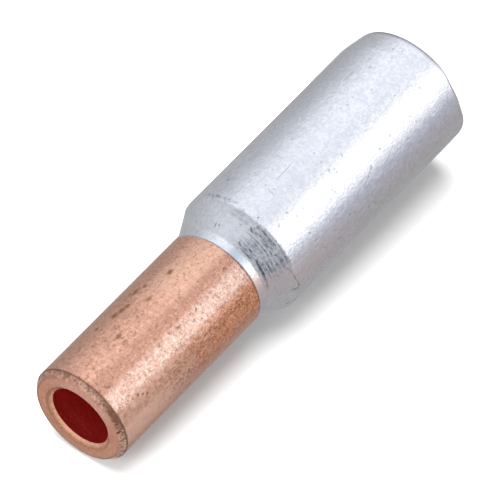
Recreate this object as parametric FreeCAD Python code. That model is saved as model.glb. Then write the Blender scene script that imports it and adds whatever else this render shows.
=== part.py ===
import FreeCAD, Part
import math
import os

# Bimetal splice sleeve: a copper barrel welded end to end to a wider aluminium barrel.
# The sleeve stands on the open end of its aluminium barrel, with its axis along +Z.
# The origin is the centre of that end. All lengths are in millimetres.

# Aluminium barrel
aluminium_diameter = 25.0
aluminium_bore_diameter = 16.5
aluminium_bore_depth = 45.0
aluminium_cylinder_length = 48.5
aluminium_bore_bevel = 0.6

# Slight taper and rounded rim of the aluminium end
end_taper_length = 5.0
end_taper_depth = 0.4
end_taper_blend_radius = 12.0
end_rim_radius = 0.2

# Cone from the aluminium barrel down to the weld
cone_length = 5.5
collar_length = 1.8
shoulder_radius = 1.6
cone_foot_radius = 2.2

# Copper barrel
copper_diameter = 19.7
copper_bore_diameter = 12.0
copper_bore_depth = 33.0
copper_length = 38.0
copper_bore_bevel = 1.0
copper_bore_bevel_length = 0.75

# Turned edge of the copper end
copper_chamfer_length = 1.2
copper_chamfer_depth = 0.9
copper_edge_radius = 0.3

# Weld seam: a fine groove where the two metals meet
seam_bevel = 0.15

# Drill points at the bottom of both bores
drill_point_angle = 118.0

# Sizes that follow from the ones above
aluminium_radius = aluminium_diameter / 2
aluminium_bore_radius = aluminium_bore_diameter / 2
copper_radius = copper_diameter / 2
copper_bore_radius = copper_bore_diameter / 2
shoulder_height = aluminium_cylinder_length
cone_foot_height = shoulder_height + cone_length
weld_height = cone_foot_height + collar_length
sleeve_length = weld_height + copper_length


def drill_point_length(bore_radius):
    return bore_radius / math.tan(math.radians(drill_point_angle / 2))


def corner_arc(before, corner, after, radius):
    """The two tangent points and the middle point of an arc that rounds a corner."""
    to_before = (before - corner).normalize()
    to_after = (after - corner).normalize()
    half_angle = to_before.getAngle(to_after) / 2
    tangent_length = radius / math.tan(half_angle)
    start = corner + to_before * tangent_length
    end = corner + to_after * tangent_length
    bisector = (to_before + to_after).normalize()
    centre = corner + bisector * (radius / math.sin(half_angle))
    middle = centre - bisector * radius
    return start, middle, end


def turned_solid(corners):
    """Turns a closed profile round the Z axis. Each corner is radius, height and rounding."""
    points = [FreeCAD.Vector(radius, 0, height) for radius, height, rounding in corners]
    edges = []
    starts = []
    ends = []
    for index, (radius, height, rounding) in enumerate(corners):
        corner = points[index]
        if rounding > 0:
            before = points[index - 1]
            after = points[(index + 1) % len(points)]
            start, middle, end = corner_arc(before, corner, after, rounding)
            edges.append(Part.Arc(start, middle, end).toShape())
        else:
            start = corner
            end = corner
        starts.append(start)
        ends.append(end)
    for index in range(len(corners)):
        line_start = ends[index]
        line_end = starts[(index + 1) % len(corners)]
        edges.append(Part.makeLine(line_start, line_end))
    wire = Part.Wire(Part.__sortEdges__(edges))
    face = Part.Face(wire)
    return face.revolve(FreeCAD.Vector(0, 0, 0), FreeCAD.Vector(0, 0, 1), 360)


def aluminium_barrel():
    """Blind bored barrel with a tapered rim, a cone and a short collar up to the weld."""
    bore_tip = aluminium_bore_depth + drill_point_length(aluminium_bore_radius)
    rim_outer_radius = aluminium_radius - end_taper_depth
    return turned_solid([
        (aluminium_bore_radius + aluminium_bore_bevel, 0, 0),
        (rim_outer_radius, 0, end_rim_radius),
        (aluminium_radius, end_taper_length, end_taper_blend_radius),
        (aluminium_radius, shoulder_height, shoulder_radius),
        (copper_radius, cone_foot_height, cone_foot_radius),
        (copper_radius, weld_height - seam_bevel, 0),
        (copper_radius - seam_bevel, weld_height, 0),
        (0, weld_height, 0),
        (0, bore_tip, 0),
        (aluminium_bore_radius, aluminium_bore_depth, 0),
        (aluminium_bore_radius, aluminium_bore_bevel, 0),
    ])


def copper_barrel():
    """Blind bored barrel with a chamfered, rounded mouth, seated on the weld face."""
    bore_bottom = sleeve_length - copper_bore_depth
    bore_tip = bore_bottom - drill_point_length(copper_bore_radius)
    return turned_solid([
        (0, weld_height, 0),
        (copper_radius - seam_bevel, weld_height, 0),
        (copper_radius, weld_height + seam_bevel, 0),
        (copper_radius, sleeve_length - copper_chamfer_length, copper_edge_radius),
        (copper_radius - copper_chamfer_depth, sleeve_length, copper_edge_radius),
        (copper_bore_radius + copper_bore_bevel, sleeve_length, 0),
        (copper_bore_radius, sleeve_length - copper_bore_bevel_length, 0),
        (copper_bore_radius, bore_bottom, 0),
        (0, bore_tip, 0),
    ])


os.makedirs("parts", exist_ok=True)
aluminium_barrel().exportStep("parts/aluminium_barrel.step")
copper_barrel().exportStep("parts/copper_barrel.step")
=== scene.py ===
import bpy
import math
import numpy as np
from mathutils import Matrix, Vector


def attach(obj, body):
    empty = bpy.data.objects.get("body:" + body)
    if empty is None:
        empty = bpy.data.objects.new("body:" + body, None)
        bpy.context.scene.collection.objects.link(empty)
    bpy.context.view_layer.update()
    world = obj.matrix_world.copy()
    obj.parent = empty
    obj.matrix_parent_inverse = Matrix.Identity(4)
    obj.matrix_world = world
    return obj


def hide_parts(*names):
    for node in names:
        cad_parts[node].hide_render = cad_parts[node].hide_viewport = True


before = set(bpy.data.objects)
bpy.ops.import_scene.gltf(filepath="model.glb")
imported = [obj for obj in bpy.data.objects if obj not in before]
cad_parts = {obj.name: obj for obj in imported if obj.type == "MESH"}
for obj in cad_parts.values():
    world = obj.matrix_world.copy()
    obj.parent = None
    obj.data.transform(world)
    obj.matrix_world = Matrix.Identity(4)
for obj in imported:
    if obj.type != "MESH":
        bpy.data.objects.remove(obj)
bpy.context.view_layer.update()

MM = 0.001

# Sizes of the sleeve in millimetres, as in the frame
ALUMINIUM_RADIUS = 12.5
ALUMINIUM_BORE_RADIUS = 8.25
ALUMINIUM_BORE_DEPTH = 45.0
ALUMINIUM_BORE_BEVEL = 0.6
SHOULDER_HEIGHT = 48.5
SHOULDER_ROUNDING = 1.6
CONE_LENGTH = 5.5
CONE_FOOT_ROUNDING = 2.2
COLLAR_LENGTH = 1.8
END_TAPER_LENGTH = 5.0
END_TAPER_DEPTH = 0.4
END_TAPER_ROUNDING = 12.0
END_RIM_ROUNDING = 0.2
COPPER_RADIUS = 9.85
COPPER_BORE_RADIUS = 6.0
COPPER_BORE_DEPTH = 33.0
COPPER_LENGTH = 38.0
COPPER_BORE_BEVEL = 1.0
COPPER_BORE_BEVEL_LENGTH = 0.75
COPPER_CHAMFER_LENGTH = 1.2
COPPER_CHAMFER_DEPTH = 0.9
COPPER_EDGE_ROUNDING = 0.3
SEAM_BEVEL = 0.15
DRILL_POINT_SLOPE = math.tan(math.radians(118.0 / 2))
CONE_FOOT_HEIGHT = SHOULDER_HEIGHT + CONE_LENGTH
WELD_HEIGHT = SHOULDER_HEIGHT + CONE_LENGTH + COLLAR_LENGTH
SLEEVE_LENGTH = WELD_HEIGHT + COPPER_LENGTH
CHAMFER_HEIGHT = SLEEVE_LENGTH - COPPER_CHAMFER_LENGTH
FACE_RADIUS = COPPER_RADIUS - COPPER_CHAMFER_DEPTH

# How finely the meshes are turned, and the angle in degrees from which an edge is sharp
SEGMENTS = 384
ARC_STEPS = 10
SHARP_ANGLE = 38

# Camera of the photograph
VIEW_DIRECTION = Vector((-0.3806, -0.7830, 0.4920)).normalized()
VIEW_UP = Vector((0.0, -1.0, 0.0))
VIEW_AIM = Vector((-0.610, 0.299, 46.694)) * MM
VIEW_DISTANCE = 1.037
VIEW_LENS = 429.4
SENSOR_WIDTH = 36.0
CLIP_START = 0.01
CLIP_END = 10.0


# Turned meshes

def rounded(before, corner, after, radius):
    """Points along the arc that rounds a corner."""
    to_before = (before - corner) / np.linalg.norm(before - corner)
    to_after = (after - corner) / np.linalg.norm(after - corner)
    half = math.acos(float(to_before @ to_after)) / 2
    bisector = (to_before + to_after) / np.linalg.norm(to_before + to_after)
    centre = corner + bisector * radius / math.sin(half)
    first = corner + to_before * radius / math.tan(half) - centre
    last = corner + to_after * radius / math.tan(half) - centre
    start = math.atan2(first[1], first[0])
    turn = math.atan2(first[0] * last[1] - first[1] * last[0], float(first @ last))
    angles = start + turn * np.linspace(0, 1, ARC_STEPS)
    return [centre + radius * np.array([math.cos(a), math.sin(a)]) for a in angles]


def profile_rows(corners):
    """Dense rows of a turned profile.

    Each corner is radius, height, rounding and the spacing of the rows after it.
    """
    points = [np.array(corner[:2]) for corner in corners]
    stops = []
    for index, (_, _, rounding, spacing) in enumerate(corners):
        if rounding:
            arc = rounded(points[index - 1], points[index], points[index + 1], rounding)
            stops += [(point, 0) for point in arc[:-1]] + [(arc[-1], spacing)]
        else:
            stops.append((points[index], spacing))
    rows = []
    for (point, spacing), (following, _) in zip(stops, stops[1:]):
        length = np.linalg.norm(following - point)
        count = max(1, round(length / spacing)) if spacing else 1
        rows += [point + (following - point) * step / count for step in range(count)]
    return np.array(rows + [stops[-1][0]])


def ring_faces(here, there):
    """The four-sided faces between two rings of points that start at here and there."""
    turns = [(i, (i + 1) % SEGMENTS) for i in range(SEGMENTS)]
    return [(here + i, here + j, there + j, there + i) for i, j in turns]


def turned_mesh(name, corners, relief):
    """A closed mesh turned round Z from a profile that starts and ends on the axis.

    relief moves its points a little, to the uneven shape of the real one.
    """
    rows = profile_rows(corners)
    angles = np.arange(SEGMENTS) * 2 * math.pi / SEGMENTS
    radius, angle = np.meshgrid(rows[1:-1, 0], angles, indexing="ij")
    height = np.repeat(rows[1:-1, 1][:, None], SEGMENTS, axis=1)
    radius, height = relief(radius, height, angle)
    grid = np.stack([radius * np.cos(angle), radius * np.sin(angle), height], axis=-1)
    poles = np.array([[0, 0, rows[0, 1]], [0, 0, rows[-1, 1]]])
    points = np.concatenate([grid.reshape(-1, 3), poles]) * MM
    count = len(rows) - 2
    faces = []
    for row in range(count - 1):
        faces += ring_faces(row * SEGMENTS, (row + 1) * SEGMENTS)
    first, last = count * SEGMENTS, count * SEGMENTS + 1
    base = (count - 1) * SEGMENTS
    faces += [(first, (i + 1) % SEGMENTS, i) for i in range(SEGMENTS)]
    faces += [(last, base + i, base + (i + 1) % SEGMENTS) for i in range(SEGMENTS)]
    mesh = bpy.data.meshes.new(name)
    mesh.from_pydata(points.tolist(), [], faces)
    mesh.validate()
    mesh.shade_smooth()
    mesh.set_sharp_from_angle(angle=math.radians(SHARP_ANGLE))
    piece = bpy.data.objects.new(name, mesh)
    bpy.context.scene.collection.objects.link(piece)
    return piece


def aluminium_profile():
    bore_tip = ALUMINIUM_BORE_DEPTH + ALUMINIUM_BORE_RADIUS / DRILL_POINT_SLOPE
    return [
        (0.0, bore_tip, 0, 2.0),
        (ALUMINIUM_BORE_RADIUS, ALUMINIUM_BORE_DEPTH, 0, 2.0),
        (ALUMINIUM_BORE_RADIUS, ALUMINIUM_BORE_BEVEL, 0, 0.3),
        (ALUMINIUM_BORE_RADIUS + ALUMINIUM_BORE_BEVEL, 0.0, 0, 0.5),
        (ALUMINIUM_RADIUS - END_TAPER_DEPTH, 0.0, END_RIM_ROUNDING, 0.4),
        (ALUMINIUM_RADIUS, END_TAPER_LENGTH, END_TAPER_ROUNDING, 0.5),
        (ALUMINIUM_RADIUS, SHOULDER_HEIGHT, SHOULDER_ROUNDING, 0.12),
        (COPPER_RADIUS, CONE_FOOT_HEIGHT, CONE_FOOT_ROUNDING, 0.15),
        (COPPER_RADIUS, WELD_HEIGHT - SEAM_BEVEL, 0, 0.1),
        (COPPER_RADIUS - SEAM_BEVEL, WELD_HEIGHT, 0, 4.0),
        (0.0, WELD_HEIGHT, 0, 0),
    ]


def copper_profile():
    bore_bottom = SLEEVE_LENGTH - COPPER_BORE_DEPTH
    return [
        (0.0, WELD_HEIGHT, 0, 4.0),
        (COPPER_RADIUS - SEAM_BEVEL, WELD_HEIGHT, 0, 0.1),
        (COPPER_RADIUS, WELD_HEIGHT + SEAM_BEVEL, 0, 0.4),
        (COPPER_RADIUS, CHAMFER_HEIGHT, COPPER_EDGE_ROUNDING, 0.15),
        (FACE_RADIUS, SLEEVE_LENGTH, COPPER_EDGE_ROUNDING, 0.25),
        (COPPER_BORE_RADIUS + COPPER_BORE_BEVEL, SLEEVE_LENGTH, 0, 0.2),
        (COPPER_BORE_RADIUS, SLEEVE_LENGTH - COPPER_BORE_BEVEL_LENGTH, 0, 1.2),
        (COPPER_BORE_RADIUS, bore_bottom, 0, 1.5),
        (0.0, bore_bottom - COPPER_BORE_RADIUS / DRILL_POINT_SLOPE, 0, 0),
    ]


# Uneven shape of the real sleeve: sizes in millimetres, azimuths and reaches in degrees
OUTSIDE_RADIUS = ALUMINIUM_BORE_RADIUS + 1.5
TAPER_LEAN_AZIMUTH = 334.0
TAPER_LEAN = 0.36
END_CUT_AZIMUTH = 205.0
END_CUT = 0.8
END_CUT_INNER = 8
END_CUT_OUTER = 34
END_CUT_LENGTH = 4
SHOULDER_WAVE = 0.12
SHOULDER_WAVE_REACH = 2.0
SHOULDER_WAVE_SEED = 3
SHOULDER_WAVE_CRESTS = (4, 26)
CHAMFER_WAVE = 0.05
CHAMFER_WAVE_REACH = 0.9
CHAMFER_WAVE_SEED = 8
CHAMFER_WAVE_CRESTS = (5, 40)
SEAM_LEAN_AZIMUTH = 195.0
SEAM_LEAN = 0.25
SEAM_LEAN_REACH = COLLAR_LENGTH + 0.5


def smoothstep(low, high, value):
    t = np.clip((value - low) / (high - low), 0, 1)
    return t * t * (3 - 2 * t)


def near(value, centre, reach):
    """1 at centre, falling to 0 at reach from it."""
    return 1 - smoothstep(0, reach, np.abs(value - centre))


def wave(angle, seed, crest_range):
    """An uneven wave round the sleeve, about 1 high: a sum of waves with these counts of crests."""
    draw = np.random.default_rng(seed)
    total = np.zeros_like(angle)
    counts = range(*crest_range)
    for crests in counts:
        total += draw.normal() * np.sin(crests * angle + draw.uniform(0, 2 * math.pi))
    return total / math.sqrt(len(counts))


def seam_shift(height, angle):
    """The weld seam runs a little askew round the sleeve."""
    lean = np.cos(angle - math.radians(SEAM_LEAN_AZIMUTH))
    return -SEAM_LEAN * lean * near(height, WELD_HEIGHT, SEAM_LEAN_REACH)


def aluminium_relief(radius, height, angle):
    """The end is tapered and cut unevenly, and the shoulder is turned a little wavy."""
    outside = radius > OUTSIDE_RADIUS
    lean = np.cos(angle - math.radians(TAPER_LEAN_AZIMUTH))
    tapered = outside * np.clip(1 - height / END_TAPER_LENGTH, 0, 1)
    radius = radius - TAPER_LEAN * lean * tapered
    shoulder = outside * near(height, SHOULDER_HEIGHT, SHOULDER_WAVE_REACH)
    turn = np.abs((np.degrees(angle) - END_CUT_AZIMUTH + 180) % 360 - 180)
    cut = END_CUT * (1 - smoothstep(END_CUT_INNER, END_CUT_OUTER, turn))
    height = height + cut * outside * (1 - smoothstep(0, END_CUT_LENGTH, height))
    wavy = wave(angle, SHOULDER_WAVE_SEED, SHOULDER_WAVE_CRESTS)
    wavy = SHOULDER_WAVE * shoulder * wavy
    return radius, height + wavy + seam_shift(height, angle)


def copper_relief(radius, height, angle):
    """The outer edge of the chamfer is a little wavy."""
    outer = smoothstep(COPPER_RADIUS - 0.8, COPPER_RADIUS - 0.1, radius)
    edge = near(height, CHAMFER_HEIGHT, CHAMFER_WAVE_REACH) * outer
    wavy = wave(angle, CHAMFER_WAVE_SEED, CHAMFER_WAVE_CRESTS)
    wavy = CHAMFER_WAVE * edge * wavy
    return radius, height + wavy + seam_shift(height, angle)


# Material graphs

class Graph:
    """Short calls that add nodes to a material or a world."""

    def __init__(self, owner):
        owner.use_nodes = True
        self.tree = owner.node_tree
        self.tree.nodes.clear()

    def add(self, kind, *values, **settings):
        node = self.tree.nodes.new(kind)
        for key, value in settings.items():
            setattr(node, key, value)
        for socket, value in zip(node.inputs, values):
            self.put(socket, value)
        return node

    def put(self, socket, value):
        if isinstance(value, bpy.types.NodeSocket):
            self.tree.links.new(value, socket)
        elif value is not None:
            socket.default_value = value

    def math(self, operation, *values):
        return self.add("ShaderNodeMath", *values, operation=operation).outputs[0]

    def times(self, first, second):
        return self.math("MULTIPLY", first, second)

    def vector(self, operation, *values):
        node = self.add("ShaderNodeVectorMath", *values, operation=operation)
        return node.outputs["Value" if operation in ("LENGTH", "DOT_PRODUCT") else "Vector"]

    def split(self, vector):
        return self.add("ShaderNodeSeparateXYZ", vector).outputs

    def noise(self, vector, scale, detail=3.0, roughness=0.5, output="Fac"):
        node = self.add("ShaderNodeTexNoise")
        self.put(node.inputs["Vector"], vector)
        node.inputs["Scale"].default_value = scale
        node.inputs["Detail"].default_value = detail
        node.inputs["Roughness"].default_value = roughness
        return node.outputs[output]

    def spread(self, value, low, high, to_low=0.0, to_high=1.0, smooth=True):
        """Maps low to high onto to_low to to_high, with soft ends."""
        kind = "SMOOTHSTEP" if smooth else "LINEAR"
        bounds = (low, high, to_low, to_high)
        return self.add("ShaderNodeMapRange", value, *bounds, interpolation_type=kind).outputs[0]

    def ramp(self, value, stops):
        node = self.add("ShaderNodeValToRGB", value)
        ramp = node.color_ramp
        while len(ramp.elements) < len(stops):
            ramp.elements.new(0.5)
        for element, (place, colour) in zip(ramp.elements, stops):
            element.position = place
            element.color = (*colour, 1.0)
        return node.outputs["Color"]

    def mix(self, factor, first, second, blend="MIX"):
        node = self.tree.nodes.new("ShaderNodeMix")
        node.data_type = "RGBA"
        node.blend_type = blend
        self.put(node.inputs["Factor"], factor)
        self.put(node.inputs[6], (*first, 1.0) if isinstance(first, tuple) else first)
        self.put(node.inputs[7], (*second, 1.0) if isinstance(second, tuple) else second)
        return node.outputs[2]

    def layer(self, under, over, mask, amount):
        """Lays one colour over another by mask times amount."""
        return self.mix(self.times(mask, amount), under, over)


class Metal:
    """A metal material, with the point on its surface and that point's height in millimetres.

    Its patterns and parts are added to it by name, and its colour, shine and relief share them.
    """

    def __init__(self, name):
        self.material = bpy.data.materials.new(name)
        self.graph = Graph(self.material)
        self.shader = self.graph.add("ShaderNodeBsdfPrincipled")
        self.shader.inputs["Metallic"].default_value = 1.0
        output = self.graph.add("ShaderNodeOutputMaterial")
        self.graph.tree.links.new(self.shader.outputs[0], output.inputs["Surface"])
        place = self.graph.add("ShaderNodeTexCoord").outputs["Object"]
        self.point = self.graph.vector("MULTIPLY", place, (1 / MM, 1 / MM, 1 / MM))
        self.height = self.graph.split(self.point)[2]


def sum_of(graph, *terms):
    """Adds weighted heights. Each term is a socket and its weight."""
    total = graph.math("MULTIPLY", *terms[0])
    for socket, weight in terms[1:]:
        total = graph.math("MULTIPLY_ADD", socket, weight, total)
    return total


# A mark reaches this far in and out in mm, and fades to nothing at MARK_EDGE times its size
MARK_DEPTH = 4.0
MARK_EDGE = 1.25


def marks(graph, point, places, radius, core=0.55):
    """One mask for a list of small marks on a barrel of this radius.

    A mark is full within core times its size.
    """
    total = 0.0
    for azimuth, height, width, length, turn, strength in places:
        around = math.radians(azimuth)
        outward = Vector((math.cos(around), math.sin(around), 0))
        tilt = Matrix.Rotation(math.radians(turn), 3, outward)
        sideways = tilt @ Vector((-math.sin(around), math.cos(around), 0))
        mark_turn = Matrix((outward, sideways, outward.cross(sideways))).transposed().to_euler()
        centre = outward * radius
        centre.z = height
        turned = graph.add("ShaderNodeVectorRotate", point, centre,
                           rotation_type="EULER_XYZ", invert=True)
        turned.inputs["Rotation"].default_value = mark_turn
        scale = Vector((1 / MARK_DEPTH, 2 / width, 2 / length))
        offset = graph.vector("MULTIPLY_ADD", turned.outputs[0], scale, -centre * scale)
        spot = graph.spread(graph.vector("LENGTH", offset), core, MARK_EDGE, strength, 0.0)
        total = graph.math("MAXIMUM", spot, total)
    return total


def stretched(graph, point, x, y, z):
    return graph.vector("MULTIPLY", point, (x, y, z))


def ragged(graph, point, scale, amount):
    """The point moved about by noise, so that marks get uneven edges."""
    cloud = graph.noise(point, scale, output="Color")
    shift = graph.vector("SUBTRACT", cloud, (0.5, 0.5, 0.5))
    return graph.vector("MULTIPLY_ADD", shift, (amount, amount, amount), point)


def within(graph, cosine, inner, outer):
    """1 where the angle with this cosine is within inner degrees, 0 beyond outer degrees."""
    return graph.spread(cosine, math.cos(math.radians(outer)), math.cos(math.radians(inner)))


def facing(graph, point, side):
    """1 on a side of the sleeve, given as an azimuth, an inner and an outer reach in degrees."""
    azimuth, inner, outer = side
    flat = graph.vector("NORMALIZE", stretched(graph, point, 1.0, 1.0, 0.0))
    around = math.radians(azimuth)
    cosine = graph.vector("DOT_PRODUCT", flat, (math.cos(around), math.sin(around), 0.0))
    return within(graph, cosine, inner, outer)


def band(graph, value, low, high, blur):
    """1 between low and high, with soft ends."""
    rise = graph.spread(value, low - blur, low + blur)
    fall = graph.spread(value, high - blur, high + blur, 1.0, 0.0)
    return graph.times(rise, fall)


def bump(graph, shader, height, depth):
    """Bumps the shader's surface by a height that is depth millimetres deep at 1."""
    node = graph.add("ShaderNodeBump")
    node.inputs["Strength"].default_value = 1.0
    node.inputs["Distance"].default_value = depth * MM
    graph.put(node.inputs["Height"], height)
    graph.put(shader.inputs["Normal"], node.outputs[0])


# Small marks: azimuth, height, width, length, turn and strength.
# Those between azimuths 154 and 334 are read from the photograph, and the others are like them.
COPPER_SPOTS = [
    (303, 81.7, 0.8, 1.4, 0, 0.9),
    (297.5, 77.8, 1.3, 1.9, 8, 1.0),
    (295.5, 76.3, 1.3, 2.2, -12, 1.0),
    (294, 75.0, 1.1, 1.6, -10, 0.9),
    (299, 87.0, 0.5, 1.6, 25, 0.6),
    (301, 71.5, 1.0, 2.6, 5, 1.0),
    (297, 69.7, 0.8, 1.1, 0, 0.9),
    (280, 72.0, 0.9, 1.8, -8, 0.8),
    (285, 65.0, 1.1, 1.7, 0, 1.0),
    (274, 81.5, 1.1, 1.7, 12, 0.9),
    (270, 66.9, 0.3, 2.2, 0, 0.5),
    (262, 67.4, 0.5, 0.9, 0, 0.4),
    (260, 82.1, 0.5, 1.2, 0, 0.4),
    (236, 72.7, 0.4, 1.7, 10, 0.6),
    (217, 87.0, 0.5, 0.7, 30, 0.9),
    (214, 86.1, 0.6, 0.7, 0, 1.0),
    (211, 85.2, 0.6, 0.8, 20, 1.0),
    (211, 81.7, 0.5, 1.5, -6, 0.5),
    (219, 89.9, 0.2, 0.6, 60, 0.7),
    (204, 70.2, 0.3, 1.0, 20, 0.5),
    (198, 68.3, 0.3, 1.2, -15, 0.5),
    (305, 72.3, 0.7, 1.2, 20, 0.9),
    (286, 76.8, 0.35, 1.0, -30, 0.7),
    (281, 83.6, 0.5, 0.8, 0, 0.8),
    (219, 88.3, 0.4, 0.6, 60, 0.8),
    (236.8, 73.0, 0.5, 0.8, 20, 0.9),
    (243.7, 71.9, 0.6, 0.8, -10, 0.7),
    (236.6, 68.0, 0.5, 0.9, 30, 0.8),
    (245.5, 64.5, 0.5, 0.5, 0, 0.6),
    (148, 78.0, 0.6, 1.8, 0, 0.7),
    (118, 68.5, 0.5, 1.4, 12, 0.7),
    (92, 84.0, 0.7, 1.2, -10, 0.8),
    (70, 74.0, 0.4, 2.4, 6, 0.7),
    (28, 80.0, 0.6, 1.6, 0, 0.7),
    (5, 65.0, 0.8, 2.0, -6, 0.8),
    (338, 88.0, 0.4, 1.2, 0, 0.7),
]
CONE_NICKS = [
    (283, 52.6, 0.3, 0.9, 0, 0.8),
    (279.5, 52.4, 0.3, 0.5, 40, 0.7),
    (251.6, 53.0, 0.25, 0.9, 60, 0.8),
    (251.5, 50.2, 0.3, 1.2, 60, 1.0),
    (254.5, 47.95, 0.35, 0.45, 0, 0.8),
    (262, 50.6, 0.2, 0.8, 80, 0.5),
    (226, 53.05, 0.4, 1.4, 80, 1.0),
    (220, 53.15, 0.55, 1.8, 85, 1.0),
    (213, 53.2, 0.45, 2.0, 87, 1.0),
    (206, 53.3, 0.35, 2.0, 87, 1.0),
    (199, 53.4, 0.28, 2.0, 86, 0.9),
    (240, 52.6, 0.25, 0.9, 80, 0.7),
    (307, 47.8, 0.4, 1.4, 70, 0.35),
    (301, 48.1, 0.6, 1.4, 50, 0.4),
    (296, 47.9, 0.7, 1.6, 75, 0.55),
    (289, 48.0, 0.4, 1.2, 60, 0.35),
    (284, 48.0, 0.5, 1.0, 50, 0.25),
    (277, 47.9, 0.3, 1.2, 75, 0.3),
    (202, 49.2, 0.3, 1.8, -76, 0.8),
    (193, 48.75, 0.35, 2.4, -76, 1.0),
    (185, 48.3, 0.35, 1.8, -76, 0.9),
    (181, 48.9, 0.35, 1.6, 0, 0.9),
    (162, 49.8, 0.3, 1.4, 75, 0.8),
    (120, 50.3, 0.3, 1.4, 20, 0.8),
    (60, 52.3, 0.3, 1.0, 70, 0.8),
    (20, 49.3, 0.3, 1.6, -15, 0.7),
]
BARREL_NICKS = [
    (266, 37.5, 0.14, 5.4, 2, 1.0),
    (284, 40.6, 0.12, 2.6, 80, 0.6),
    (278, 35.2, 0.12, 2.2, 85, 0.6),
    (262, 42.3, 0.14, 2.0, 75, 0.7),
    (241, 31.4, 0.35, 0.8, 40, 1.1),
    (238.5, 30.5, 0.3, 0.5, 0, 1.0),
    (235.5, 30.5, 0.3, 0.4, 0, 0.9),
    (242.5, 27.3, 0.3, 1.0, 60, 1.0),
    (238.5, 46.2, 0.4, 1.0, 30, 1.0),
    (241, 43.4, 0.35, 0.7, 0, 1.2),
    (217, 24.3, 0.5, 0.8, 20, 1.2),
    (214, 25.4, 0.3, 1.6, 30, 1.2),
    (206, 41.6, 0.4, 0.9, 0, 1.0),
    (193, 40.3, 0.3, 1.6, -45, 1.0),
    (188, 36.3, 0.4, 0.6, 0, 1.0),
    (302, 43.6, 0.5, 0.9, 0, 1.6),
    (299, 44.6, 0.3, 0.8, 40, 1.4),
    (305, 42.6, 0.3, 0.9, -20, 1.4),
    (250, 31.3, 0.4, 0.9, 0, 0.8),
    (225, 33.3, 0.35, 0.6, 0, 0.8),
    (287, 12.8, 0.7, 2.8, -4, 0.6),
    (278, 9.3, 0.4, 0.9, 0, 0.8),
    (208, 25.3, 0.3, 0.8, 30, 0.8),
    (200, 12.3, 0.3, 1.6, 8, 0.7),
    (140, 30.3, 0.3, 2.6, 12, 0.8),
    (100, 18.3, 0.4, 1.2, 0, 1.0),
    (70, 38.3, 0.2, 3.4, -8, 0.8),
    (30, 24.3, 0.4, 1.0, 0, 1.0),
    (350, 34.3, 0.25, 2.8, 6, 0.8),
    (320, 14.3, 0.4, 1.0, 0, 0.8),
]

# How far out the marks on the cone lie, how deep the relief is at 1, and how far from the weld
# its seam starts to darken and is dark, in millimetres
CONE_MARK_RADIUS = 11.2
ALUMINIUM_BUMP = 0.04
COPPER_BUMP = 0.05
SEAM_OUTER = 0.16
SEAM_INNER = 0.06

# Sides of the aluminium barrel, as facing takes them: some have a look of their own, and some carry
# painted shade, painted highlights and a painted reflection
CRUMBS_SIDE = (292, 14, 34)
# Real groove marks on this side of the cone, darkened partly as painted shade
DRAGGED_AND_SHADED_SIDE = (228, 10, 32)
STREAKS_SIDE = (254, 10, 30)
# Painted highlight on the top side and painted shade on one flank, near the open end
TOP_HIGHLIGHT_SIDE = (270, 10, 30)
END_LIMB_SHADE_SIDE = (334, 14, 34)
# Painted shade on the under side
UNDER_SHADE_SIDE = (196, 8, 24)
WARM_SIDE = (197, 6, 17)
# Painted shade on one side of the collar
COLLAR_SHADE_SIDE = (243, 2, 15)
# Where the painted reflection of the copper lies on the collar
COPPER_REFLECTION_SIDE = (209, 4, 12)
# Painted shade on the rounded edge of the open rim
RIM_SHADE_SIDE = (272, 26, 60)

# Heights in millimetres where the painted highlight and shade near the open end, and the warm tone,
# start and where they are full
END_LIGHT_HEIGHTS = (40.0, 15.0)
WARM_HEIGHTS = (28.0, 46.0)

# Colours of the aluminium, linear
ALUMINIUM_GREY = (0.755, 0.76, 0.775)
ALUMINIUM_PALE = (0.80, 0.805, 0.815)
# Painted highlight and painted shade of the aluminium near its open end
ALUMINIUM_PAINTED_HIGHLIGHT = (0.86, 0.865, 0.88)
ALUMINIUM_PAINTED_SHADE = (0.60, 0.605, 0.62)
ALUMINIUM_GRAIN = (0.64, 0.65, 0.67)
ALUMINIUM_LUMPS = (0.63, 0.64, 0.665)
# Painted shade, multiplied in on the under side
ALUMINIUM_UNDER_SHADE = (0.92, 0.92, 0.925)
# Tint and groove darkening of one side of the cone: real groove marks with painted shade in them
DRAGGED_TINT_AND_SHADE = (0.40, 0.45, 0.56)
GROOVE_MARKS_AND_SHADE = (0.06, 0.09, 0.15)
ALUMINIUM_DIRT = (0.13, 0.14, 0.17)
ALUMINIUM_PITS = (0.34, 0.36, 0.40)
ALUMINIUM_SCRATCHES = (0.45, 0.47, 0.50)
ALUMINIUM_WARM = (0.82, 0.66, 0.62)
# Painted shade on the collar, and a painted reflection of the copper on it
COLLAR_PAINTED_SHADE = (0.50, 0.53, 0.58)
COPPER_REFLECTION_ON_COLLAR = (0.98, 0.68, 0.54)
# Painted shade on the rounded edge of the open rim
ALUMINIUM_RIM_SHADE = (0.16, 0.16, 0.18)
ALUMINIUM_SEAM = (0.42, 0.50, 0.54)


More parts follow.
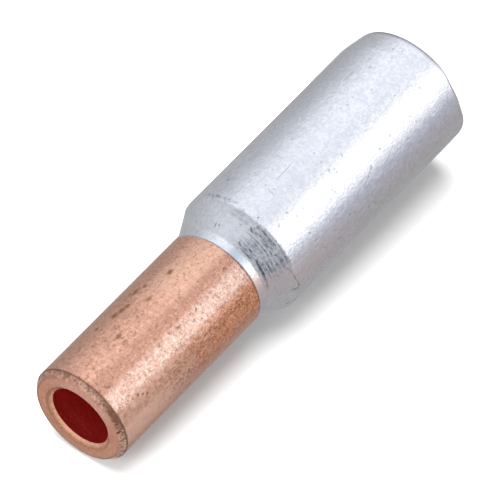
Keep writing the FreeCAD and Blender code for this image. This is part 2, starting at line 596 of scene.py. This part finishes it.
def aluminium_patterns(metal):
    """The noises, pits, marks and grooves of the aluminium."""
    graph, point, height = metal.graph, metal.point, metal.height
    rough_point = ragged(graph, point, 1.4, 0.5)
    rough_height = graph.split(rough_point)[2]
    metal.cone = band(graph, rough_height, SHOULDER_HEIGHT + 0.1, CONE_FOOT_HEIGHT - 0.3, 0.25)
    shoulder = band(graph, height, SHOULDER_HEIGHT - 1.2, SHOULDER_HEIGHT + 0.5, 0.4)
    along = stretched(graph, point, 1.0, 1.0, 0.06)
    turned = stretched(graph, ragged(graph, point, 1.6, 0.18), 0.13, 0.13, 7.0)

    metal.cloud = graph.noise(point, 0.22, 4.0, 0.6)
    metal.lumps = graph.noise(point, 0.8, 3.0, 0.6)
    metal.grain = graph.noise(stretched(graph, point, 1.0, 1.0, 0.85), 1.9, 3.0, 0.75)
    metal.fine = graph.noise(point, 1.5, 4.0, 0.75)
    metal.scratch = graph.spread(graph.noise(along, 2.2, 2.0, 0.6), 0.64, 0.72)
    metal.rings = graph.noise(turned, 1.0, 5.0, 0.85)
    cells = graph.add("ShaderNodeTexVoronoi", rough_point, feature="F1")
    cells.inputs["Scale"].default_value = 0.6
    pit = graph.spread(cells.outputs["Distance"], 0.06, 0.2, 1.0, 0.0)
    chosen = graph.spread(graph.split(cells.outputs["Color"])[0], 0.54, 0.58)
    metal.pit = graph.times(pit, chosen)
    crumbs = graph.spread(graph.noise(rough_point, 1.7, 3.0, 0.7), 0.60, 0.68)
    shoulder = graph.times(shoulder, facing(graph, point, CRUMBS_SIDE))
    metal.crumbs = graph.times(shoulder, crumbs)
    metal.nick = marks(graph, ragged(graph, point, 2.4, 0.5), CONE_NICKS, CONE_MARK_RADIUS)
    metal.scuff = marks(graph, ragged(graph, point, 2.5, 0.5), BARREL_NICKS, ALUMINIUM_RADIUS)

    dragged = graph.times(metal.cone, facing(graph, rough_point, DRAGGED_AND_SHADED_SIDE))
    streaks = band(graph, height, SHOULDER_HEIGHT + 0.2, SHOULDER_HEIGHT + 1.6, 0.3)
    metal.streaks = graph.times(streaks, facing(graph, point, STREAKS_SIDE))
    metal.dragged = graph.math("MAXIMUM", dragged, graph.times(metal.streaks, 0.35))
    groove = graph.math("MULTIPLY_ADD", metal.fine, 0.3, metal.rings)
    groove = graph.spread(groove, 0.565, 0.675, 1.0, 0.0)
    metal.deep = graph.times(metal.dragged, groove)


def bare_aluminium_and_painted_light(metal):
    """The colour of the bare metal, with a painted highlight and painted shade near the open end,
    and painted shade on the under side.
    """
    graph, point = metal.graph, metal.point
    colour = graph.mix(graph.spread(metal.cloud, 0.35, 0.65), ALUMINIUM_GREY, ALUMINIUM_PALE)
    low = graph.spread(metal.height, *END_LIGHT_HEIGHTS, 0.0, 0.8)
    # Painted highlight on the top side and painted shade on one flank, towards the open end
    colour = graph.layer(colour, ALUMINIUM_PAINTED_HIGHLIGHT, low, facing(graph, point, TOP_HIGHLIGHT_SIDE))
    colour = graph.layer(colour, ALUMINIUM_PAINTED_SHADE, low, facing(graph, point, END_LIMB_SHADE_SIDE))
    smooth = graph.spread(metal.fine, 0.38, 0.62)
    grained = graph.mix(0.7, colour, ALUMINIUM_GRAIN)
    colour = graph.mix(smooth, grained, colour)
    colour = graph.mix(graph.spread(metal.lumps, 0.32, 0.56, 0.45, 0.0), colour, ALUMINIUM_LUMPS)
    # Painted shade: the under side is multiplied a little darker
    return graph.mix(facing(graph, point, UNDER_SHADE_SIDE), colour, ALUMINIUM_UNDER_SHADE, "MULTIPLY")


def worn_and_shaded_aluminium(metal, colour):
    """Lays the dragged grooves, darkened partly as painted shade, dirt, pits and scratches over a
    colour.
    """
    graph = metal.graph
    # Real groove marks on one side of the cone, tinted and darkened with painted shade
    colour = graph.layer(colour, DRAGGED_TINT_AND_SHADE, metal.dragged, 0.2)
    colour = graph.layer(colour, GROOVE_MARKS_AND_SHADE, metal.deep, 0.95)
    dirt = graph.math("MAXIMUM", metal.nick, graph.times(metal.scuff, 0.35))
    dirt = graph.math("MAXIMUM", dirt, graph.times(metal.crumbs, 0.4))
    colour = graph.layer(colour, ALUMINIUM_DIRT, dirt, 0.9)
    uneven = graph.spread(metal.fine, 0.35, 0.60, 0.1, 0.7)
    colour = graph.layer(colour, ALUMINIUM_PITS, metal.pit, uneven)
    return graph.layer(colour, ALUMINIUM_SCRATCHES, metal.scratch, 0.12)


def aluminium_ends(metal, colour):
    """Lays the warm side, painted shade and a painted reflection of the copper on the collar,
    painted shade along the edge of the open rim, and the weld seam over a colour.
    """
    graph, point, height = metal.graph, metal.point, metal.height
    warm = graph.times(facing(graph, point, WARM_SIDE), graph.spread(height, *WARM_HEIGHTS))
    colour = graph.layer(colour, ALUMINIUM_WARM, warm, 0.4)
    collar = band(graph, height, CONE_FOOT_HEIGHT, WELD_HEIGHT, 0.25)
    # Painted shade on one side of the collar
    colour = graph.layer(colour, COLLAR_PAINTED_SHADE, collar, facing(graph, point, COLLAR_SHADE_SIDE))
    # Painted reflection of the copper on one side of the collar
    glow = graph.times(collar, facing(graph, point, COPPER_REFLECTION_SIDE))
    colour = graph.layer(colour, COPPER_REFLECTION_ON_COLLAR, glow, 0.6)
    # Painted shade along the rounded edge of the open rim, on one side
    rim = graph.spread(height, 0.35, 0.65, 1.0, 0.3)
    rim = graph.times(rim, graph.spread(height, 0.8, 0.95, 1.0, 0.0))
    rim = graph.times(rim, facing(graph, point, RIM_SHADE_SIDE))
    colour = graph.layer(colour, ALUMINIUM_RIM_SHADE, rim, 0.7)
    seam = graph.spread(height, WELD_HEIGHT - SEAM_OUTER, WELD_HEIGHT - SEAM_INNER)
    return graph.layer(colour, ALUMINIUM_SEAM, seam, 0.7)


def aluminium_material():
    metal = Metal("drawn_aluminium")
    graph = metal.graph
    aluminium_patterns(metal)
    colour = aluminium_ends(metal, worn_and_shaded_aluminium(metal, bare_aluminium_and_painted_light(metal)))
    graph.put(metal.shader.inputs["Base Color"], colour)

    shine = graph.spread(metal.lumps, 0.3, 0.7, 0.17, 0.25)
    shine = graph.math("MULTIPLY_ADD", metal.cone, 0.10, shine)
    shine = graph.math("MULTIPLY_ADD", metal.nick, 0.3, shine)
    graph.put(metal.shader.inputs["Roughness"], shine)

    ringed = graph.times(graph.math("ADD", metal.cone, metal.streaks), metal.rings)
    torn = graph.times(metal.dragged, sum_of(graph, (metal.rings, 6.0), (metal.grain, 3.5)))
    relief = sum_of(
        graph,
        (metal.lumps, 1.1),
        (metal.grain, 1.9),
        (metal.fine, 1.2),
        (metal.scratch, -0.3),
        (ringed, 1.2),
        (torn, 1.0),
        (metal.pit, -0.8),
        (metal.nick, -1.6),
        (metal.scuff, -1.0),
        (metal.crumbs, -1.4),
    )
    bump(graph, metal.shader, relief, ALUMINIUM_BUMP)
    return metal.material


# Sides of the copper barrel, as facing takes them: some have a look of their own, and some carry
# painted shade, painted highlights and a painted reflection
# Painted shade at the limb and in a valley, and where the painted highlight and glints lie
COPPER_LIMB_SHADE_SIDE = (322, 14, 34)
VALLEY_SHADE_SIDE = (245, 6, 18)
COPPER_HIGHLIGHT_SIDE = (225, 9, 20)
GLINT_SIDE = (229, 3, 14)
ORANGE_SIDE = (200, 11, 21)
# Painted reflection on this side near the mouth
REFLECTION_SIDE = (196, 10, 26)
BROWN_SIDE = (211, 3, 14)
GOLDEN_SIDE = (274, 8, 24)
COARSE_SIDE = (198, 12, 21)
# Painted shade and painted light on the end face, and painted shade along its edge
FACE_SHADE_SIDE = (64, 15, 75)
FACE_LIGHT_SIDE = (244, 10, 70)
FACE_EDGE_SHADE_SIDE = (64, 70, 125)
# Painted shade and a painted highlight on the chamfer
CHAMFER_SHADE_SIDE = (224, 8, 26)
CHAMFER_HIGHLIGHT_SIDE = (256, 10, 32)
CHAMFER_TOP_SHADE_SIDE = (300, 25, 55)

# Heights in millimetres where a tone of the copper, and the painted reflection, start and where
# they are full
ORANGE_HEIGHTS = (82.0, 62.0)
REFLECTION_HEIGHTS = (70.0, 84.0)
GOLDEN_HEIGHTS = (74.0, 66.0)
COARSE_HEIGHTS = (89.0, 76.0)
RINGED_HEIGHTS = (70.0, 58.0)
BORE_MOUTH_HEIGHTS = (SLEEVE_LENGTH - 3.4, SLEEVE_LENGTH - 0.8)

# Colours of the copper, linear
COPPER_DEEP = (0.92, 0.49, 0.335)
COPPER_CLEAN = (0.97, 0.54, 0.38)
COPPER_DULL = (0.74, 0.385, 0.255)
# Painted shade at the limb and in a valley, and a painted highlight with painted glints
COPPER_LIMB_SHADE = (0.62, 0.31, 0.19)
COPPER_VALLEY_SHADE = (0.56, 0.29, 0.20)
COPPER_PAINTED_HIGHLIGHT = (0.97, 0.73, 0.63)
COPPER_PAINTED_GLINTS = (1.0, 0.92, 0.82)
COPPER_GRAIN = (0.97, 0.60, 0.45)
COPPER_PORES = (0.40, 0.20, 0.13)
COPPER_RINGS = (0.46, 0.24, 0.17)
COPPER_ORANGE = (1.0, 0.35, 0.14)
# Painted reflection near the mouth
COPPER_PAINTED_REFLECTION = (1.0, 0.66, 0.50)
COPPER_BROWN = (0.46, 0.205, 0.12)
COPPER_GOLDEN = (1.0, 0.62, 0.44)
COARSE_DARK = (0.42, 0.165, 0.08)
COARSE_LIGHT = (1.0, 0.62, 0.44)
COPPER_SPECKS = (0.36, 0.185, 0.12)
COPPER_SPOT = (0.37, 0.175, 0.07)
COPPER_SCRATCHES = (0.45, 0.26, 0.19)
FACE_DARK_LINES = (0.484, 0.20, 0.116)
FACE_LIGHT_LINES = (0.616, 0.272, 0.158)
# Painted shade and painted light of the end face, and painted shade along its edge
FACE_PAINTED_SHADE = (0.47, 0.195, 0.115)
FACE_PAINTED_LIGHT = (0.68, 0.335, 0.243)
FACE_EDGE_SHADE = (0.16, 0.07, 0.04)
CHAMFER_DARK = (0.34, 0.16, 0.095)
CHAMFER_LIGHT = (1.0, 0.60, 0.45)
# Painted shade and a painted highlight on the chamfer
CHAMFER_PAINTED_SHADE = (0.25, 0.085, 0.035)
CHAMFER_PAINTED_HIGHLIGHT = (1.0, 0.66, 0.52)
CHAMFER_PORES = (0.20, 0.09, 0.05)
# Painted shade at the top of the chamfer
CHAMFER_TOP_SHADE = (0.42, 0.20, 0.13)
BLOT = (0.10, 0.035, 0.02)
COPPER_BURR = (0.20, 0.10, 0.06)
COPPER_SEAM = (0.24, 0.14, 0.10)
# Painted highlight on the bevel of the bore's rim
BORE_RIM_HIGHLIGHT = (0.90, 0.52, 0.35)
BORE_DEPTHS = (0.86, 0.105, 0.085)
BORE_MOUTH = (0.66, 0.055, 0.04)

# Where the dark blot lies on the chamfer, in millimetres
BLOT_PLACE = (-8.9, -3.05, SLEEVE_LENGTH)


def copper_patterns(metal):
    """The noises and spots of the copper."""
    graph, point = metal.graph, metal.point
    metal.radial = graph.vector("LENGTH", stretched(graph, point, 1.0, 1.0, 0.0))
    metal.rough_point = ragged(graph, point, 1.6, 0.6)
    drawn = stretched(graph, point, 1.0, 1.0, 0.7)
    ringed = stretched(graph, point, 0.3, 0.3, 2.6)
    along = stretched(graph, point, 1.0, 1.0, 0.07)
    spun = graph.add("ShaderNodeCombineXYZ", metal.radial, 0.0, metal.height).outputs[0]

    metal.cloud = graph.noise(point, 0.20, 3.0, 0.55)
    metal.mottle = graph.noise(drawn, 1.5, 4.0, 0.72)
    metal.grain = graph.noise(drawn, 2.6, 3.0, 0.75)
    metal.lumps = graph.noise(drawn, 1.0, 3.0, 0.6)
    metal.fine = graph.noise(point, 1.2, 6.0, 0.85)
    metal.rings = graph.noise(ringed, 1.2, 3.0, 0.75)
    metal.scratch = graph.spread(graph.noise(along, 2.6, 2.0, 0.6), 0.62, 0.70)
    metal.spun_lines = graph.noise(spun, 4.0, 2.0, 0.5)
    spot_point = ragged(graph, point, 1.6, 0.7)
    metal.spots = marks(graph, spot_point, COPPER_SPOTS, COPPER_RADIUS, 0.3)
    metal.specks = graph.spread(graph.noise(metal.rough_point, 1.5, 4.0, 0.78), 0.58, 0.68)


def copper_parts(metal):
    """Masks of the copper's end face, chamfer, bore and burred edge."""
    graph, height, radial = metal.graph, metal.height, metal.radial
    mouth = graph.spread(height, CHAMFER_HEIGHT - 0.05, CHAMFER_HEIGHT + 0.15)
    flat = graph.spread(height, SLEEVE_LENGTH - 0.5, SLEEVE_LENGTH - 0.1)
    within_face = graph.spread(radial, FACE_RADIUS + 0.15, FACE_RADIUS - 0.05)
    metal.face = graph.times(flat, within_face)
    beyond_face = graph.spread(radial, FACE_RADIUS - 0.1, FACE_RADIUS + 0.3)
    metal.chamfer = graph.times(mouth, beyond_face)
    wall = (COPPER_BORE_RADIUS + 0.01, COPPER_BORE_RADIUS + 0.05)
    metal.inside = graph.spread(radial, *wall, 1.0, 0.0)
    wavy = graph.split(ragged(graph, metal.point, 0.8, 0.35))[2]
    burr = band(graph, wavy, CHAMFER_HEIGHT - 0.18, CHAMFER_HEIGHT + 0.16, 0.12)
    outer = graph.spread(radial, COPPER_RADIUS - 0.4, COPPER_RADIUS - 0.2)
    metal.burr = graph.times(burr, outer)


def bare_copper_and_painted_light(metal):
    """The colour of the bare metal on the outside, dull and bright by turns, with painted shade at
    the limb and in a valley, and a painted highlight with painted glints.
    """
    graph, point, grain, fine = metal.graph, metal.point, metal.grain, metal.fine
    colour = graph.mix(graph.spread(metal.cloud, 0.35, 0.65), COPPER_DEEP, COPPER_CLEAN)
    colour = graph.mix(graph.spread(metal.mottle, 0.34, 0.60), COPPER_DULL, colour)
    # Painted shade at the limb
    colour = graph.layer(colour, COPPER_LIMB_SHADE, facing(graph, point, COPPER_LIMB_SHADE_SIDE), 0.5)
    # Painted shade in a valley beside the highlight
    colour = graph.layer(colour, COPPER_VALLEY_SHADE, facing(graph, point, VALLEY_SHADE_SIDE), 0.9)
    # Painted highlight: paler colour where the highlight falls
    painted_highlight = facing(graph, point, COPPER_HIGHLIGHT_SIDE)
    painted_highlight = graph.times(painted_highlight, graph.spread(grain, 0.38, 0.62, 0.5, 1.0))
    colour = graph.layer(colour, COPPER_PAINTED_HIGHLIGHT, painted_highlight, 0.75)
    # Painted glints in the highlight band
    painted_glints = graph.times(facing(graph, point, GLINT_SIDE), graph.spread(fine, 0.50, 0.64))
    colour = graph.layer(colour, COPPER_PAINTED_GLINTS, painted_glints, 0.75)
    colour = graph.layer(colour, COPPER_GRAIN, graph.spread(grain, 0.47, 0.64), 0.45)
    colour = graph.layer(colour, COPPER_PORES, graph.spread(fine, 0.34, 0.52, 1.0, 0.0), 0.75)
    return graph.mix(graph.spread(metal.rings, 0.35, 0.58, 0.3, 0.0), colour, COPPER_RINGS)


def tarnish_and_painted_reflection(metal, colour):
    """Lays the heat tints, a painted reflection on one side near the mouth, coarse streaks, specks,
    spots and scratches over a colour.
    """
    graph, point, height = metal.graph, metal.point, metal.height
    orange = facing(graph, point, ORANGE_SIDE)
    orange = graph.times(orange, graph.spread(height, *ORANGE_HEIGHTS))
    orange = graph.times(orange, graph.spread(metal.lumps, 0.35, 0.55, 0.5, 1.0))
    colour = graph.layer(colour, COPPER_ORANGE, orange, 0.9)
    # Painted reflection: one side near the mouth is paler, as if it mirrored more light
    pale = facing(graph, point, REFLECTION_SIDE)
    metal.pale = graph.times(pale, graph.spread(height, *REFLECTION_HEIGHTS))
    colour = graph.layer(colour, COPPER_PAINTED_REFLECTION, metal.pale, 0.8)
    brown = facing(graph, point, BROWN_SIDE)
    brown = graph.times(brown, graph.spread(metal.fine, 0.40, 0.60, 1.0, 0.4))
    colour = graph.layer(colour, COPPER_BROWN, brown, 0.7)
    golden = facing(graph, point, GOLDEN_SIDE)
    golden = graph.times(golden, graph.spread(height, *GOLDEN_HEIGHTS))
    colour = graph.layer(colour, COPPER_GOLDEN, golden, 0.45)
    streaky = graph.noise(stretched(graph, point, 1.0, 1.0, 0.9), 1.9, 4.0, 0.85)
    coarse = facing(graph, point, COARSE_SIDE)
    coarse = graph.times(coarse, graph.spread(height, *COARSE_HEIGHTS, 0.1, 1.0))
    colour = graph.layer(colour, COARSE_DARK, coarse, graph.spread(streaky, 0.39, 0.54, 0.8, 0.0))
    colour = graph.layer(colour, COARSE_LIGHT, coarse, graph.spread(streaky, 0.48, 0.62, 0.0, 0.65))
    metal.coarse, metal.streaky = coarse, streaky
    colour = graph.layer(colour, COPPER_SPECKS, metal.specks, 0.7)
    colour = graph.mix(metal.spots, colour, COPPER_SPOT)
    return graph.layer(colour, COPPER_SCRATCHES, metal.scratch, 0.25)


def face_colour(metal):
    """The colour of the turned end face, with painted shade on one half, painted light on the
    other, and painted shade along the far part of its edge.
    """
    graph, point = metal.graph, metal.point
    colour = graph.mix(metal.spun_lines, FACE_DARK_LINES, FACE_LIGHT_LINES)
    # Painted shade on one half of the face and painted light on the other
    colour = graph.layer(colour, FACE_PAINTED_SHADE, facing(graph, point, FACE_SHADE_SIDE), 0.75)
    colour = graph.layer(colour, FACE_PAINTED_LIGHT, facing(graph, point, FACE_LIGHT_SIDE), 0.8)
    # Painted shade along the far part of the edge
    edge_shade = graph.spread(metal.radial, FACE_RADIUS - 0.4, FACE_RADIUS - 0.15)
    edge_shade = graph.times(edge_shade, facing(graph, point, FACE_EDGE_SHADE_SIDE))
    return graph.layer(colour, FACE_EDGE_SHADE, edge_shade, 0.9)


def chamfer_colour(metal):
    """The colour of the chamfer, with painted shade on one side and at the top, and a painted
    highlight on another side.
    """
    graph, point, grain, fine = metal.graph, metal.point, metal.grain, metal.fine
    colour = graph.mix(graph.spread(metal.mottle, 0.40, 0.56), CHAMFER_DARK, CHAMFER_LIGHT)
    # Painted shade on one side, stronger towards the outer edge
    chamfer_shade = facing(graph, point, CHAMFER_SHADE_SIDE)
    outward = graph.spread(metal.radial, FACE_RADIUS + 0.1, FACE_RADIUS + 0.5, 0.4, 0.92)
    colour = graph.layer(colour, CHAMFER_PAINTED_SHADE, chamfer_shade, outward)
    # Painted highlight on another side
    lit = facing(graph, point, CHAMFER_HIGHLIGHT_SIDE)
    colour = graph.layer(colour, CHAMFER_PAINTED_HIGHLIGHT, lit, graph.spread(grain, 0.40, 0.54, 0.0, 0.65))
    colour = graph.layer(colour, CHAMFER_PORES, graph.spread(fine, 0.38, 0.54, 1.0, 0.0), 0.85)
    # Painted shade at the top
    return graph.layer(colour, CHAMFER_TOP_SHADE, facing(graph, point, CHAMFER_TOP_SHADE_SIDE), 0.35)


def copper_ends(metal, colour):
    """Lays the end face, chamfer, blot, burr, weld seam, a painted highlight on the rim of the
    bore, and the bore over a colour.
    """
    graph, height = metal.graph, metal.height
    colour = graph.layer(colour, face_colour(metal), metal.face, 0.92)
    colour = graph.layer(colour, chamfer_colour(metal), metal.chamfer, 0.9)
    blot = graph.vector("SUBTRACT", metal.rough_point, BLOT_PLACE)
    blot = graph.vector("LENGTH", stretched(graph, blot, 1.2, 1.0, 1.0))
    colour = graph.mix(graph.spread(blot, 0.3, 0.65, 0.9, 0.0), colour, BLOT)
    colour = graph.layer(colour, COPPER_BURR, metal.burr, 0.8)
    seam = graph.spread(height, WELD_HEIGHT + SEAM_OUTER, WELD_HEIGHT + SEAM_INNER)
    colour = graph.layer(colour, COPPER_SEAM, seam, 0.7)
    # Painted highlight on the bevel round the bore
    rim = band(graph, metal.radial, COPPER_BORE_RADIUS + 0.06, COPPER_BORE_RADIUS + 0.35, 0.05)
    rim = graph.times(rim, graph.spread(height, SLEEVE_LENGTH - 1.2, SLEEVE_LENGTH - 0.8))
    colour = graph.layer(colour, BORE_RIM_HIGHLIGHT, rim, 0.6)
    shallow = graph.spread(height, *BORE_MOUTH_HEIGHTS)
    return graph.mix(metal.inside, colour, graph.mix(shallow, BORE_DEPTHS, BORE_MOUTH))


def copper_material():
    metal = Metal("drawn_copper")
    graph = metal.graph
    copper_patterns(metal)
    copper_parts(metal)
    colour = copper_ends(metal, tarnish_and_painted_reflection(metal, bare_copper_and_painted_light(metal)))
    graph.put(metal.shader.inputs["Base Color"], colour)

    shine = graph.spread(metal.mottle, 0.3, 0.7, 0.32, 0.21)
    shine = graph.math("MULTIPLY_ADD", metal.spots, 0.25, shine)
    # Rougher where the painted reflection lies
    shine = graph.math("MULTIPLY_ADD", metal.pale, 0.2, shine)
    shine = graph.math("MAXIMUM", shine, graph.times(metal.inside, 0.5))
    graph.put(metal.shader.inputs["Roughness"], shine)

    streaked = graph.times(metal.coarse, metal.streaky)
    near_weld = graph.spread(metal.height, *RINGED_HEIGHTS, 0.7, 3.0)
    ringed = graph.times(metal.rings, near_weld)
    spun = graph.times(metal.face, metal.spun_lines)
    mottled = graph.times(metal.chamfer, metal.mottle)
    relief = sum_of(
        graph,
        (metal.lumps, 1.8),
        (metal.grain, 2.0),
        (metal.fine, 1.9),
        (streaked, 4.0),
        (ringed, 1.0),
        (metal.specks, -0.9),
        (metal.spots, -0.6),
        (metal.scratch, -0.3),
        (spun, 0.4),
        (mottled, 1.8),
        (metal.burr, 0.8),
    )
    bump(graph, metal.shader, relief, COPPER_BUMP)
    return metal.material


# Pieces

def dress(piece, node, material):
    """Gives a mesh its material, and puts it in the place of a solid."""
    piece.data.materials.append(material)
    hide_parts(node)
    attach(piece, "root")


aluminium_skin = turned_mesh("aluminium_barrel_skin", aluminium_profile(), aluminium_relief)
dress(aluminium_skin, "aluminium_barrel", aluminium_material())
copper_skin = turned_mesh("copper_barrel_skin", copper_profile(), copper_relief)
dress(copper_skin, "copper_barrel", copper_material())


# Floor, and the backdrop that takes the sleeve's shadow as the photograph's table does

STAGE_REACH = 900.0
STAGE_COLOUR = (0.3, 0.3, 0.3, 1.0)
STAGE_GLOW = (1.0, 0.985, 1.0, 1.0)
STAGE_GLOW_STRENGTH = 0.192
# Lamps of the two planes: where each shines from, its strength and its spread in degrees
FLOOR_LAMPS = [((-0.38, -0.78, 0.8), 18.0, 12)]
BACKDROP_LAMPS = [((0.13, -1.0, -0.03), 10.6, 50), ((0.13, -0.8, 1.3), 6.2, 45)]
# The backdrop touches the shoulder and the edge of the copper end, so it leans to the axis
BACKDROP_LEAN = (ALUMINIUM_RADIUS - COPPER_RADIUS) / (CHAMFER_HEIGHT - SHOULDER_HEIGHT)
BACKDROP_FOOT = ALUMINIUM_RADIUS + BACKDROP_LEAN * SHOULDER_HEIGHT
BACKDROP_TOP = BACKDROP_FOOT - BACKDROP_LEAN * STAGE_REACH


def stage_material():
    """A pale matt surface that shows a little light of its own, so that its shadow stays neutral.

    From behind it is clear.
    """
    material = bpy.data.materials.new("pale_stage")
    graph = Graph(material)
    pale = graph.add("ShaderNodeBsdfDiffuse", STAGE_COLOUR)
    glow = graph.add("ShaderNodeEmission", STAGE_GLOW, STAGE_GLOW_STRENGTH)
    lit = graph.add("ShaderNodeAddShader", pale.outputs[0], glow.outputs[0])
    clear = graph.add("ShaderNodeBsdfTransparent")
    behind = graph.add("ShaderNodeNewGeometry").outputs["Backfacing"]
    mixed = graph.add("ShaderNodeMixShader", behind, lit.outputs[0], clear.outputs[0])
    output = graph.add("ShaderNodeOutputMaterial")
    graph.tree.links.new(mixed.outputs[0], output.inputs["Surface"])
    return material


def stage_plane(name, corners, material, lamps):
    """A plane that only shows and takes shadow, lit by lamps of its own."""
    mesh = bpy.data.meshes.new(name)
    mesh.from_pydata([Vector(corner) * MM for corner in corners], [], [(0, 1, 2, 3)])
    mesh.materials.append(material)
    plane = bpy.data.objects.new(name, mesh)
    bpy.context.scene.collection.objects.link(plane)
    plane.visible_glossy = False
    plane.visible_diffuse = False
    plane.visible_transmission = False
    plane.visible_shadow = False
    lit = bpy.data.collections.new(name + "_lit")
    lit.objects.link(plane)
    for light_from, strength, spread in lamps:
        light = bpy.data.lights.new(name + "_light", "SUN")
        light.energy = strength
        light.angle = math.radians(spread)
        lamp = bpy.data.objects.new(name + "_light", light)
        lamp.rotation_euler = (-Vector(light_from)).to_track_quat("-Z", "Y").to_euler()
        bpy.context.scene.collection.objects.link(lamp)
        lamp.light_linking.receiver_collection = lit


def stage_corners(near_y, far_y, far_z):
    """The corners of a plane as wide as the stage, from an edge on the ground to a far edge."""
    return [
        (-STAGE_REACH, near_y, 0),
        (STAGE_REACH, near_y, 0),
        (STAGE_REACH, far_y, far_z),
        (-STAGE_REACH, far_y, far_z),
    ]


stage_look = stage_material()
floor_corners = stage_corners(-STAGE_REACH, STAGE_REACH, 0)
backdrop_corners = stage_corners(BACKDROP_FOOT, BACKDROP_TOP, STAGE_REACH)
stage_plane("floor", floor_corners, stage_look, FLOOR_LAMPS)
stage_plane("backdrop", backdrop_corners, stage_look, BACKDROP_LAMPS)


# Camera

def photo_camera():
    data = bpy.data.cameras.new("camera")
    data.sensor_width = SENSOR_WIDTH
    data.lens = VIEW_LENS
    data.clip_start = CLIP_START
    data.clip_end = CLIP_END
    camera = bpy.data.objects.new("camera", data)
    right = VIEW_UP.cross(VIEW_DIRECTION).normalized()
    up = VIEW_DIRECTION.cross(right)
    turn = Matrix((right, up, VIEW_DIRECTION)).transposed().to_4x4()
    camera.matrix_world = Matrix.Translation(VIEW_AIM + VIEW_DIRECTION * VIEW_DISTANCE) @ turn
    bpy.context.scene.collection.objects.link(camera)
    bpy.context.scene.camera = camera


photo_camera()


# Studio light: what the metal mirrors, by the angle round the sleeve from the camera's side

SIDE_LIGHT = [
    (-180, (0.50, 0.50, 0.53)),
    (-139, (0.54, 0.55, 0.57)),
    (-113, (0.54, 0.555, 0.60)),
    (-93, (0.70, 0.73, 0.79)),
    (-76, (0.94, 0.97, 1.05)),
    (-59, (1.12, 1.16, 1.26)),
    (-44, (1.17, 1.21, 1.32)),
    (-28, (1.15, 1.18, 1.29)),
    (-8, (0.99, 1.02, 1.14)),
    (5, (1.08, 1.10, 1.17)),
    (15, (1.75, 1.75, 1.75)),
    (46, (1.75, 1.75, 1.75)),
    (57, (0.82, 0.87, 0.99)),
    (70, (0.585, 0.61, 0.715)),
    (98, (0.53, 0.51, 0.525)),
    (120, (0.50, 0.475, 0.485)),
    (156, (0.44, 0.43, 0.445)),
    (180, (0.50, 0.50, 0.53)),
]
UPPER_LIGHT = [
    (-180, (0.68, 0.67, 0.66)),
    (-130, (0.66, 0.67, 0.69)),
    (-90, (0.66, 0.68, 0.73)),
    (-50, (0.88, 0.91, 0.99)),
    (-28, (0.86, 0.90, 0.99)),
    (-10, (0.56, 0.60, 0.69)),
    (15, (0.36, 0.40, 0.49)),
    (50, (0.30, 0.34, 0.42)),
    (75, (0.45, 0.45, 0.48)),
    (110, (0.52, 0.51, 0.52)),
    (180, (0.68, 0.67, 0.66)),
]
OVERHEAD_LIGHT = (1.0, 1.0, 1.0)
# Where the side light turns into the upper one, and that into the overhead one, as the
# upward part of a direction
UPPER_FROM = (-0.15, 0.15)
OVERHEAD_FROM = (0.6, 0.85)
# A round soft light behind the sleeve, for its far side: its height and reach in degrees
BACK_LIGHT = (1.45, 1.45, 1.48)
BACK_LIGHT_HEIGHT = -3.0
BACK_LIGHT_INNER = 9.0
BACK_LIGHT_OUTER = 20.0


def studio():
    world = bpy.data.worlds.new("studio")
    bpy.context.scene.world = world
    graph = Graph(world)
    toward = graph.add("ShaderNodeTexCoord").outputs["Generated"]
    front = Vector((VIEW_DIRECTION.x, VIEW_DIRECTION.y, 0)).normalized()
    side = Vector((front.y, -front.x, 0))
    along = graph.vector("DOT_PRODUCT", toward, front)
    across = graph.vector("DOT_PRODUCT", toward, side)
    angle = graph.math("ARCTAN2", across, along)
    place = graph.spread(angle, -math.pi, math.pi, smooth=False)
    lower = graph.ramp(place, [((a + 180) / 360, colour) for a, colour in SIDE_LIGHT])
    upper = graph.ramp(place, [((a + 180) / 360, colour) for a, colour in UPPER_LIGHT])
    height = graph.split(toward)[2]
    sides = graph.mix(graph.spread(height, *UPPER_FROM), lower, upper)
    behind = -front * math.cos(math.radians(BACK_LIGHT_HEIGHT))
    behind.z = math.sin(math.radians(BACK_LIGHT_HEIGHT))
    back = within(graph, graph.vector("DOT_PRODUCT", toward, behind),
                  BACK_LIGHT_INNER, BACK_LIGHT_OUTER)
    sides = graph.mix(back, sides, BACK_LIGHT)
    seen = graph.mix(graph.spread(height, *OVERHEAD_FROM), sides, OVERHEAD_LIGHT)
    pattern = graph.add("ShaderNodeBackground", seen)
    plain = graph.add("ShaderNodeBackground", (1.0, 1.0, 1.0, 1.0))
    glossy = graph.add("ShaderNodeLightPath").outputs["Is Glossy Ray"]
    mixed = graph.add("ShaderNodeMixShader", glossy, plain.outputs[0], pattern.outputs[0])
    output = graph.add("ShaderNodeOutputWorld")
    graph.tree.links.new(mixed.outputs[0], output.inputs["Surface"])
    world.cycles.sampling_method = "NONE"


studio()
bpy.context.scene.view_settings.view_transform = "Standard"
